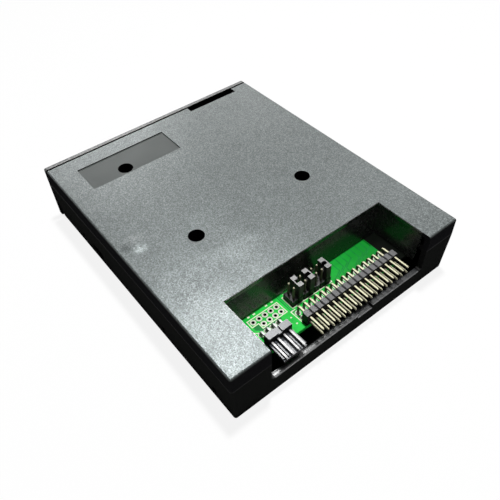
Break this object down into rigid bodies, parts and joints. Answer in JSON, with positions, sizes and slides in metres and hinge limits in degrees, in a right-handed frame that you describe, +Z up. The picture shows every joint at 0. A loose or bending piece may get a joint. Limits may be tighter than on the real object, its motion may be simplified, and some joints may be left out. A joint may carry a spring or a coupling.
{
  "type": "floppy drive emulator",
  "caption": "Flat black drive case with a rear cut-out over a pin connector, jumper block and power pins, and a front panel with a socket, push buttons, lamp and digit display.",
  "frame": {"origin": "centre of the outer box, on the underside", "axes": "+X to the right as seen from the front panel, +Y from the front panel to the rear connectors, +Z up"},
  "size_m": [0.1016, 0.1258, 0.0254],
  "materials": {
    "cover_plastic": "fine grained charcoal moulding",
    "shell_plastic": "fine grained black moulding",
    "panel_plastic": "fine grained black moulding",
    "screw_steel": "dark plated",
    "board_laminate": "green solder mask over copper",
    "header_plastic": "moulded, satin",
    "jumper_plastic": "moulded, satin",
    "cap_plastic": "moulded, glossy",
    "pin_gold": "thin gold plating",
    "pin_tin": "bright tin plating",
    "chip_plastic": "moulded, matt",
    "can_metal": "drawn, satin",
    "display_plastic": "dark face",
    "segment_plastic": "milky, unlit",
    "button_plastic": "moulded, satin",
    "lamp_plastic": "tinted, unlit",
    "socket_steel": "bright nickel plating",
    "core_plastic": "moulded, matt"
  },
  "bodies": {
    "case": {"top_cover": "cover_plastic", "lower_shell": "shell_plastic", "front_panel": "panel_plastic", "cover_screws": "screw_steel", "board_screw": "screw_steel", "main_board": "board_laminate", "display_board": "board_laminate", "drive_header_base": "header_plastic", "drive_pins_upper": "pin_gold", "drive_pins_lower": "pin_gold", "jumper_base": "jumper_plastic", "jumper_pins": "pin_gold", "power_block": "jumper_plastic", "power_pins": "pin_tin", "processor": "chip_plastic", "buffer_chips": "chip_plastic", "voltage_regulator": "chip_plastic", "crystal_can": "can_metal", "capacitor_cans": "can_metal", "chip_resistors": "chip_plastic", "display_body": "display_plastic", "display_segments": "segment_plastic", "display_pins": "pin_gold", "switch_body_1": "chip_plastic", "switch_body_2": "chip_plastic", "lamp": "lamp_plastic", "lamp_leads": "pin_tin", "socket_shell": "socket_steel", "socket_insulator": "core_plastic", "socket_contacts": "pin_gold"},
    "button_1": {"push_button_1": "button_plastic", "switch_plunger_1": "chip_plastic"},
    "button_2": {"push_button_2": "button_plastic", "switch_plunger_2": "chip_plastic"},
    "cap_1": {"jumper_cap_1": "cap_plastic"},
    "cap_2": {"jumper_cap_2": "cap_plastic"},
    "cap_3": {"jumper_cap_3": "cap_plastic"}
  },
  "joints": [
    {"name": "button_1_press", "type": "slide", "parent": "case", "child": "button_1", "axis": [0, 1, 0], "range_m": [0, 0.0003], "stiffness_N_per_m": 5000},
    {"name": "button_2_press", "type": "slide", "parent": "case", "child": "button_2", "axis": [0, 1, 0], "range_m": [0, 0.0003], "stiffness_N_per_m": 5000},
    {"name": "cap_1_lift", "type": "slide", "parent": "case", "child": "cap_1", "axis": [0, 0, 1], "range_m": [0, 0.0065]},
    {"name": "cap_2_lift", "type": "slide", "parent": "case", "child": "cap_2", "axis": [0, 0, 1], "range_m": [0, 0.0065]},
    {"name": "cap_3_lift", "type": "slide", "parent": "case", "child": "cap_3", "axis": [0, 0, 1], "range_m": [0, 0.0065]}
  ]
}
